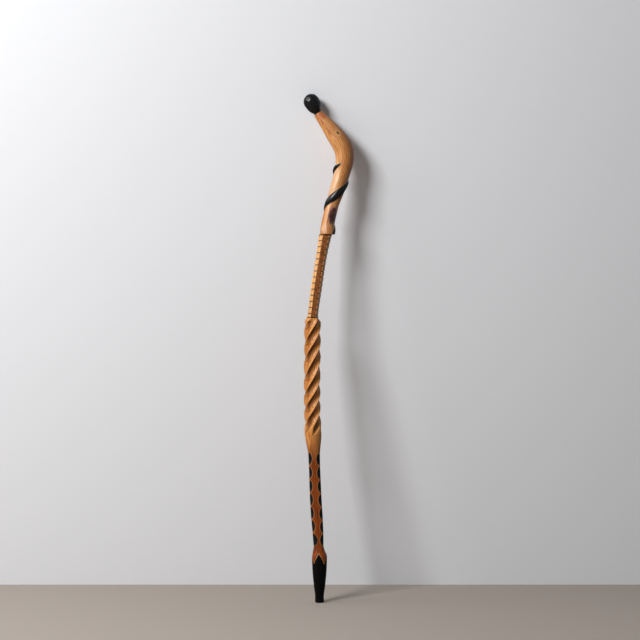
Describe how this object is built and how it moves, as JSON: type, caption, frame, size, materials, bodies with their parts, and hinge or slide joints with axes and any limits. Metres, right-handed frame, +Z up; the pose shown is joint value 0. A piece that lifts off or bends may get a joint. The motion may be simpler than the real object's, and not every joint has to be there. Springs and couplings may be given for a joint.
{
  "type": "carved walking stick",
  "caption": "Carved wooden walking stick: bent branch handle with a black snake winding round it, black knob, notched and spiral-fluted shaft, squared lower length and black tip.",
  "frame": {"origin": "centre of the foot's flat face on the ground, on the tip's axis", "axes": "+Z up along the tip's axis, +X towards the side that the handle bends out to, the front of the picture faces -Y"},
  "size_m": [0.0926, 0.0352, 0.9152],
  "materials": {
    "black_tip": "satin black stain on turned wood",
    "varnished_shaft": "orange-brown varnish, darker in the carving, black paint in the scoops",
    "dowel_wood": "plain unfinished hardwood",
    "black_lacquer": "gloss black lacquer on carved wood",
    "peeled_branch": "peeled honey-coloured branch under clear varnish"
  },
  "bodies": {
    "root": {"tip": "black_tip", "spiral_shaft": "varnished_shaft", "shaft_dowel": "dowel_wood", "notched_shaft": "varnished_shaft", "handle_dowel": "dowel_wood", "snake": "black_lacquer", "handle": "peeled_branch", "knob_dowel": "dowel_wood", "knob": "black_lacquer"}
  },
  "joints": []
}
